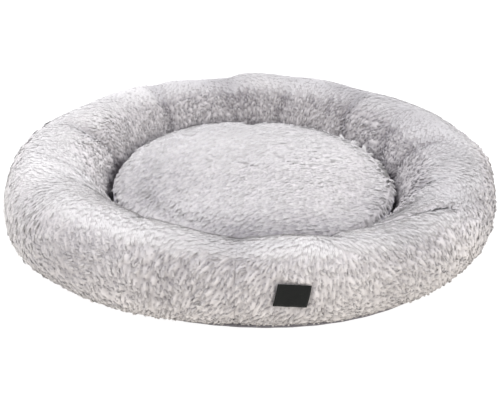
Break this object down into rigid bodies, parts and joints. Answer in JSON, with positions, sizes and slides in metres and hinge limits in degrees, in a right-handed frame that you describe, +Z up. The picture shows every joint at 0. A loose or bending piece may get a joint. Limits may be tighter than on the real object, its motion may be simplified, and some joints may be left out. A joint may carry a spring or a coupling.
{
  "type": "round dog bed",
  "caption": "Round plush pet bed: a stuffed ring bolster sewn to a flat base, with a loose domed cushion in its well and a bare label on the front wall.",
  "frame": {"origin": "middle of the bed's box, on the floor under the base panel", "axes": "+Z up; -Y towards the front, where the label is; +X to the right as seen from the front, the bed's longest side"},
  "size_m": [0.8105, 0.7824, 0.1405],
  "materials": {
    "plush": "matte",
    "base_cloth": "matte",
    "lining_cloth": "matte",
    "fibrefill": "matte",
    "label_tape": "matte"
  },
  "bodies": {
    "bed": {"sleeve_left_half": "plush", "sleeve_right_half": "plush", "bolster_filling": "fibrefill", "base_panel": "base_cloth", "floor_lining": "lining_cloth", "woven_label": "label_tape"},
    "cushion": {"cushion_top_panel": "plush", "cushion_bottom_panel": "lining_cloth", "cushion_filling": "fibrefill"}
  },
  "joints": [
    {"name": "cushion_lift", "type": "slide", "parent": "bed", "child": "cushion", "axis": [0, 0, 1], "range_m": [0, 0.2]}
  ]
}
